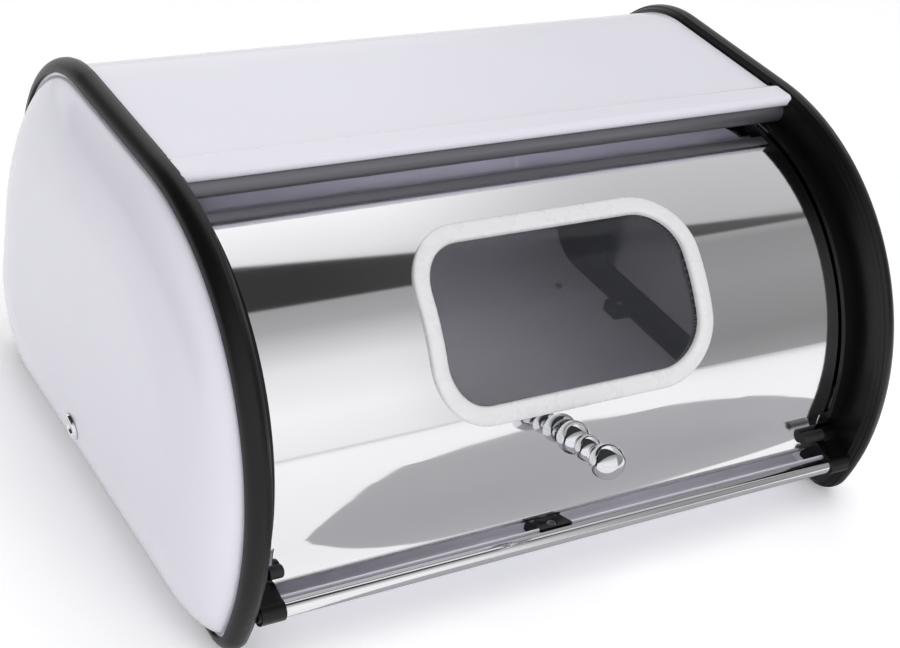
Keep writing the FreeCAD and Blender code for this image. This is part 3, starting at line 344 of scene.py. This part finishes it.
for part in frame["record"]["subparts"]:
    frame["nodes"][part["node"]].material_slots[0].material = FINISHES[part["material_slot"]]


# ---------------------------------------------------------------- modelling helpers
def only(piece):
    """Make one object the active and only selected one."""
    bpy.ops.object.select_all(action="DESELECT")
    bpy.context.view_layer.objects.active = piece
    piece.select_set(True)


def hand_over(piece, slot, body, node):
    """Give a finished piece its finish and its body, and hide the CAD node that it stands for."""
    piece.data.materials.clear()
    piece.data.materials.append(FINISHES[slot])
    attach(piece, body)
    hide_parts(node)


def smoothed(piece, degrees):
    only(piece)
    bpy.ops.object.shade_smooth_by_angle(angle=math.radians(degrees), keep_sharp_edges=False)


# ---------------------------------------------------------------- pressed side panels
def pressed_panel(side):
    """The domed panel with its bands blended into one smooth pillow."""
    node = side + "_side_panel"
    only(frame["nodes"][node])
    bpy.ops.object.duplicate()
    panel = bpy.context.active_object
    panel.name = panel.data.name = side + "_pressed_panel"
    panel.parent = None
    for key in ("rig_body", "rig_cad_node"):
        del panel[key]
    bpy.ops.object.mode_set(mode="EDIT")
    bpy.ops.mesh.select_all(action="SELECT")
    bpy.ops.mesh.remove_doubles(threshold=0.002 * MM)
    bpy.ops.mesh.customdata_custom_splitnormals_clear()
    bpy.ops.object.mode_set(mode="OBJECT")
    smoothed(panel, 32)
    hand_over(panel, "white_enamel", "body", node)


# ---------------------------------------------------------------- turned knob
def bead_profile(radius, centre, start, end, steps):
    """Points (radius, height) round a bead, between two angles from the knob's axis."""
    turns = [math.radians(start + (end - start) * i / steps) for i in range(steps + 1)]
    return [(radius * math.sin(a), centre - radius * math.cos(a)) for a in turns]


def knob_profile():
    """Side of the knob from the lid outwards: foot, bulb, collar, bead, collar and end ball."""
    foot = [(5.0 * MM, 0.05 * MM), (6.0 * MM, 0.3 * MM), (6.0 * MM, 1.0 * MM)]
    cove = [(4.7 * MM, 12.9 * MM), (5.0 * MM, 13.2 * MM), (4.7 * MM, 13.5 * MM), (3.9 * MM, 13.8 * MM)]
    collar = [(3.7 * MM, 22.6 * MM), (4.7 * MM, 22.9 * MM), (5.0 * MM, 23.4 * MM), (4.7 * MM, 23.9 * MM)]
    return (foot + bead_profile(*BULB, 52, 146, 16) + cove + bead_profile(*BEAD, 44, 138, 14) + collar
            + bead_profile(*BALL, 28, 180, 24))


def turned_knob():
    """One profile drawn point by point and spun about the knob's axis."""
    profile = knob_profile()
    bpy.ops.mesh.primitive_plane_add(size=1 * MM)
    knob = bpy.context.active_object
    knob.name = knob.data.name = "turned_knob"
    bpy.ops.object.mode_set(mode="EDIT")
    bpy.ops.mesh.select_all(action="SELECT")
    bpy.ops.mesh.merge(type="CENTER")
    at = (0.0, 0.05 * MM)
    for radius, height in profile:
        bpy.ops.mesh.extrude_region_move(TRANSFORM_OT_translate={"value": (radius - at[0], 0, height - at[1])})
        at = (radius, height)
    bpy.ops.mesh.select_all(action="SELECT")
    bpy.ops.mesh.spin(steps=KNOB_STEPS, angle=2 * math.pi, center=(0, 0, 0), axis=(0, 0, 1))
    bpy.ops.mesh.select_all(action="SELECT")
    bpy.ops.mesh.remove_doubles(threshold=0.01 * MM)
    bpy.ops.mesh.normals_make_consistent(inside=False)
    bpy.ops.object.mode_set(mode="OBJECT")
    outwards = Vector((0, -math.cos(KNOB_TILT), math.sin(KNOB_TILT)))
    seat = Vector(((KNOB_LOW.x + KNOB_HIGH.x) / 2, HINGE.y, HINGE.z)) + outwards * LID_RADIUS
    turn = Vector((0, 0, 1)).rotation_difference(outwards).to_matrix().to_4x4()
    knob.data.transform(Matrix.Translation(seat) @ turn)
    smoothed(knob, 40)
    hand_over(knob, "chrome_plate", "lid", "lid_knob")


# ---------------------------------------------------------------- window moulding
def on_lid(x, rise, height):
    """Point at a height over the lid's face, from its place on the flat window drawing."""
    turn = WINDOW_TILT + math.asin(rise / LID_RADIUS)
    reach = LID_RADIUS + height
    return Vector((x, HINGE.y - reach * math.cos(turn), HINGE.z + reach * math.sin(turn)))


def window_moulding():
    """Rounded frame: a plate with bevelled corners, inset again and again, then curved to the lid."""
    bpy.ops.mesh.primitive_plane_add(size=2)
    moulding = bpy.context.active_object
    moulding.name = moulding.data.name = "window_moulding"
    half_width = (BEZEL_HIGH.x - BEZEL_LOW.x) / 2
    bpy.ops.object.mode_set(mode="EDIT")
    bpy.ops.mesh.select_all(action="SELECT")
    bpy.ops.transform.resize(value=(half_width, BEZEL_HALF_HEIGHT, 1))
    bpy.ops.mesh.bevel(offset=BEZEL_CORNER, segments=CORNER_STEPS, affect="VERTICES")
    bpy.ops.mesh.select_mode(type="EDGE")
    bpy.ops.mesh.select_all(action="DESELECT")
    bpy.ops.object.mode_set(mode="OBJECT")
    for edge in moulding.data.edges:
        ends = [moulding.data.vertices[v].co for v in edge.vertices]
        edge.select = (ends[0] - ends[1]).length > STRAIGHT_SIDE
    bpy.ops.object.mode_set(mode="EDIT")
    bpy.ops.mesh.subdivide(number_cuts=SIDE_CUTS)
    bpy.ops.mesh.select_mode(type="FACE")
    bpy.ops.mesh.select_all(action="SELECT")
    # each step goes in by the first value and up by the second
    section = ((0.0, 0.9), (0.12, 0.45), (0.35, 0.40), (0.9, 0.30), (1.6, 0.15), (1.6, 0.0), (1.5, -0.12),
               (1.1, -0.35), (0.7, -0.55), (0.35, -0.60), (0.08, -1.6))
    for inwards, up in section:
        if inwards == 0:
            bpy.ops.mesh.extrude_region_move(TRANSFORM_OT_translate={"value": (0, 0, up * MM)})
        else:
            bpy.ops.mesh.inset(thickness=inwards * MM, depth=up * MM)
    bpy.ops.mesh.select_all(action="DESELECT")
    bpy.ops.mesh.select_face_by_sides(number=4, type="GREATER")
    bpy.ops.mesh.delete(type="FACE")
    bpy.ops.object.mode_set(mode="OBJECT")
    for vertex in moulding.data.vertices:
        vertex.co = on_lid(*vertex.co)
    only(moulding)
    bpy.ops.object.mode_set(mode="EDIT")
    bpy.ops.mesh.select_all(action="SELECT")
    bpy.ops.mesh.normals_make_consistent(inside=False)
    bpy.ops.object.mode_set(mode="OBJECT")
    smoothed(moulding, 50)
    hand_over(moulding, "white_plastic", "lid", "window_bezel")


for side in ("left", "right"):
    pressed_panel(side)
turned_knob()
window_moulding()


# ---------------------------------------------------------------- floor, light and camera
# outline of the card on the table, from its left end round its front to its right end
CARD_EDGE = (
    (-0.162, -0.105), (-0.131, -0.133), (-0.096, -0.169), (-0.046, -0.229), (0.030, -0.328), (0.125, -0.418),
    (0.191, -0.451), (0.220, -0.410), (0.240, -0.300), (0.240, -0.200), (0.235, -0.110),
)


FLOOR_SIZE = 6.0
FLOOR_GLOW = 0.17                                    # the sweep is lit from within, so that it shows white
FLOOR_DROP = 0.5 * MM                                # clear of the feet
CARD_DROP = 0.2 * MM

# brightness of the tent by the angle across the lid: 0 is the front, 90 overhead, 180 the back
LEFT_TENT = ((-90, 0.80), (-10, 0.98), (18, 1.10), (40, 0.95), (60, 0.46), (70, 0.40), (96, 0.95), (120, 1.15),
             (180, 1.15))
RIGHT_TENT = ((-90, 0.80), (-30, 0.80), (-8, 0.40), (12, 0.30), (45, 0.36), (66, 0.33), (80, 0.58), (125, 0.68),
              (180, 0.75))
TENT_BLUE = 1.01                                     # the cloth is very slightly blue
TENT_CHANGE = (0.47, 0.60)                           # sideways part of the direction where left turns to right
FLAG_LOW = (70.2, 71.6)                              # lower edge of the dark flag and its softness, in degrees
FLAG_HIGH = 95.5                                     # upper edge at the flag's left end, in degrees
FLAG_LEFT = 0.417                                    # sideways part of the direction at that end
FLAG_FALL = 82.3                                     # fall of the upper edge, in degrees per unit sideways
FLAG_SOFT = 0.012                                    # softness of the upper edge, in radians
FLAG_SHADE = {"From Min": 0.45, "From Max": 0.68, "To Min": 0.045, "To Max": 0.12}

CAMERA_EYE = Vector((-0.49296, -0.63829, 0.57204))
CAMERA_RIGHT = Vector((0.84376, -0.50930, 0.16935))
CAMERA_UP = Vector((0.15720, 0.53620, 0.82932))
CAMERA_AHEAD = Vector((0.51318, 0.67313, -0.53249))
CAMERA_LENS, CAMERA_SENSOR = 75.15, 36.0

# name, place, target, diameter and power of each soft lamp
LAMPS = (
    ("overhead_softbox", (0.3, -0.2, 2.4), (0, 0, 0.05), 2.6, 27.0),
    ("front_softbox", (0.2, -1.8, 0.9), (0, 0, 0.08), 1.0, 3.5),
    ("left_softbox", (-1.6, -0.2, 1.3), (-0.1, 0, 0.12), 1.0, 6.0),
    ("inside_lamp", (0.05, 0.03, 0.14), (0.03, 0.03, 0), 0.05, 0.25),
)


def pale_floor():
    bpy.ops.mesh.primitive_plane_add(size=FLOOR_SIZE, location=(0, 0, -FLOOR_DROP))
    floor = bpy.context.active_object
    floor.name = "floor"
    material, _, shader, _ = surface("lit_white_sweep", Roughness=0.9, Specular_IOR_Level=0.1,
                                     Emission_Strength=FLOOR_GLOW)
    shader.inputs["Base Color"].default_value = linear("#fbfbfc")
    shader.inputs["Emission Color"].default_value = linear("#ffffff")
    floor.data.materials.append(material)


def grey_card():
    """Grey card lying before the box.  Only the polished lid shows it: it is out of sight and casts no light."""
    bpy.ops.mesh.primitive_circle_add(vertices=len(CARD_EDGE), fill_type="NGON")
    card = bpy.context.active_object
    card.name = "grey_card"
    for vertex, (x, y) in zip(card.data.vertices, CARD_EDGE):
        vertex.co = (x, y, -CARD_DROP)
    material, _, shader, _ = surface("grey_card_stock", Roughness=0.8)
    shader.inputs["Base Color"].default_value = linear("#bdbcbf")
    card.data.materials.append(material)
    card.visible_camera = card.visible_diffuse = card.visible_shadow = False


def studio_sky():
    """Soft tent round the box: bright on the left, greyer on the right, with one dark flag overhead."""
    world = bpy.data.worlds.new("studio_tent")
    bpy.context.scene.world = world
    world.use_nodes = True
    tree = world.node_tree
    tree.nodes.clear()
    way = add(tree, "ShaderNodeTexCoord").outputs["Generated"]
    axes = add(tree, "ShaderNodeSeparateXYZ", links={"Vector": way}).outputs
    front = add(tree, "ShaderNodeMath", {1: -1.0}, {0: axes["Y"]}, operation="MULTIPLY")
    # angle in the plane across the lid: 0 to the front, a quarter turn overhead
    climb = add(tree, "ShaderNodeMath", links={0: axes["Z"], 1: front.outputs[0]}, operation="ARCTAN2")
    share = add(tree, "ShaderNodeMapRange", {"From Min": -math.pi, "From Max": math.pi},
                {"Value": climb.outputs[0]})
    ramps = []
    for stops in (LEFT_TENT, RIGHT_TENT):
        ramp = add(tree, "ShaderNodeValToRGB", links={"Fac": share.outputs[0]})
        points = ramp.color_ramp.elements
        while len(points) < len(stops):
            points.new(0.5)
        for point, (degrees, level) in zip(points, stops):
            point.position = (degrees + 180) / 360
            point.color = (level, level, level * TENT_BLUE, 1)
        ramps.append(ramp.outputs["Color"])
    to_right = add(tree, "ShaderNodeMapRange", dict(zip(("From Min", "From Max"), TENT_CHANGE)),
                   {"Value": axes["X"]},
                   interpolation_type="SMOOTHSTEP")
    tent = add(tree, "ShaderNodeMix", links={0: to_right.outputs[0], 6: ramps[0], 7: ramps[1]},
               data_type="RGBA")
    # the flag's lower edge is level; its upper edge falls towards the right
    low = add(tree, "ShaderNodeMapRange",
              dict(zip(("From Min", "From Max"), map(math.radians, FLAG_LOW))),
              {"Value": climb.outputs[0]})
    edge = add(tree, "ShaderNodeMath", {1: math.radians(FLAG_FALL)}, {0: axes["X"]}, operation="MULTIPLY")
    height = add(tree, "ShaderNodeMath", links={0: climb.outputs[0], 1: edge.outputs[0]},
                 operation="ADD")
    top = math.radians(FLAG_HIGH + FLAG_FALL * FLAG_LEFT)
    fade = {"From Min": top - FLAG_SOFT, "From Max": top + FLAG_SOFT, "To Min": 1.0, "To Max": 0.0}
    high = add(tree, "ShaderNodeMapRange", fade, {"Value": height.outputs[0]})
    band = add(tree, "ShaderNodeMath", links={0: low.outputs[0], 1: high.outputs[0]},
               operation="MULTIPLY")
    flag = add(tree, "ShaderNodeMapRange", FLAG_SHADE, {"Value": axes["X"]})
    shade = add(tree, "ShaderNodeMix",
                links={0: band.outputs[0], 6: tent.outputs[2], 7: flag.outputs[0]}, data_type="RGBA")
    light = add(tree, "ShaderNodeBackground", {"Strength": 1.0}, {"Color": shade.outputs[2]})
    add(tree, "ShaderNodeOutputWorld", links={"Surface": light.outputs[0]})


def soft_light(name, place, target, size, power):
    bpy.ops.object.light_add(type="AREA", location=place)
    lamp = bpy.context.active_object
    lamp.name = name
    lamp.data.shape = "DISK"
    lamp.data.size = size
    lamp.data.energy = power
    lamp.rotation_euler = (Vector(target) - Vector(place)).to_track_quat("-Z", "Y").to_euler()
    lamp.visible_glossy = False


def camera():
    """Standing at the left of the front, looking down at the box with a short telephoto lens."""
    data = bpy.data.cameras.new("camera")
    data.lens, data.sensor_width = CAMERA_LENS, CAMERA_SENSOR
    eye = bpy.data.objects.new("camera", data)
    bpy.context.scene.collection.objects.link(eye)
    turn = Matrix((CAMERA_RIGHT, CAMERA_UP, -CAMERA_AHEAD)).transposed().to_4x4()
    eye.matrix_world = Matrix.Translation(CAMERA_EYE) @ turn
    bpy.context.scene.camera = eye


pale_floor()
grey_card()
studio_sky()
for lamp in LAMPS:
    soft_light(*lamp)
camera()
bpy.context.scene.view_settings.view_transform = "Standard"
